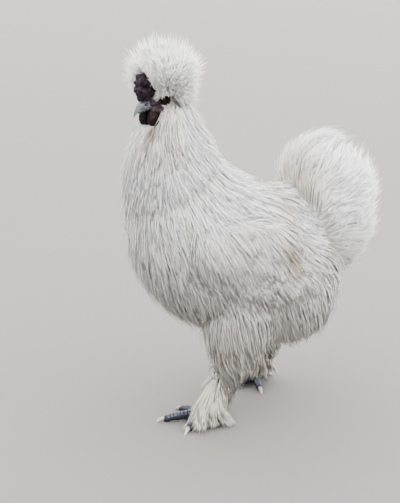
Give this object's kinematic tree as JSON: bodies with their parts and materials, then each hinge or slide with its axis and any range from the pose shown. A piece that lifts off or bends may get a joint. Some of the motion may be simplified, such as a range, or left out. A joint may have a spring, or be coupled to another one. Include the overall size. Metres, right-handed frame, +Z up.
{
  "type": "silkie chicken",
  "caption": "White silkie cock in mid-stride, life size, with crest, walnut comb, shredded coat, ball tail and feathered feet.",
  "frame": {"origin": "middle of the underside of the bird's bounding box, on the floor", "axes": "-X the way the bird walks, +X its tail, -Y its left side, +Z up"},
  "size_m": [0.2696, 0.1726, 0.3855],
  "materials": {
    "plumage": "soft shredded white feather, matt, warm grey in its hollows",
    "skin": "bare mulberry skin, satin",
    "comb": "dark mulberry walnut comb, knobbly, satin",
    "wattle": "dark maroon skin, satin",
    "beak": "slate blue horn, satin",
    "eye": "near black, wet gloss",
    "toe": "dark slate scaled skin, satin",
    "claw": "pale horn, satin"
  },
  "bodies": {
    "root": {"head": "skin", "comb": "comb", "beak_upper": "beak", "beak_lower": "beak", "eye_left": "eye", "wattle_left": "wattle", "eye_right": "eye", "wattle_right": "wattle", "crest": "plumage", "neck": "plumage", "breast": "plumage", "torso": "plumage", "wing_left": "plumage", "wing_right": "plumage", "tail": "plumage", "thigh_left": "plumage", "thigh_right": "plumage", "foot_left": "toe", "shank_left": "plumage", "claw_left_inner": "claw", "claw_left_middle": "claw", "claw_left_outer": "claw", "claw_left_hind": "claw", "claw_left_fifth": "claw", "foot_right": "toe", "shank_right": "plumage", "claw_right_inner": "claw", "claw_right_middle": "claw", "claw_right_outer": "claw", "claw_right_hind": "claw", "claw_right_fifth": "claw"}
  },
  "joints": []
}
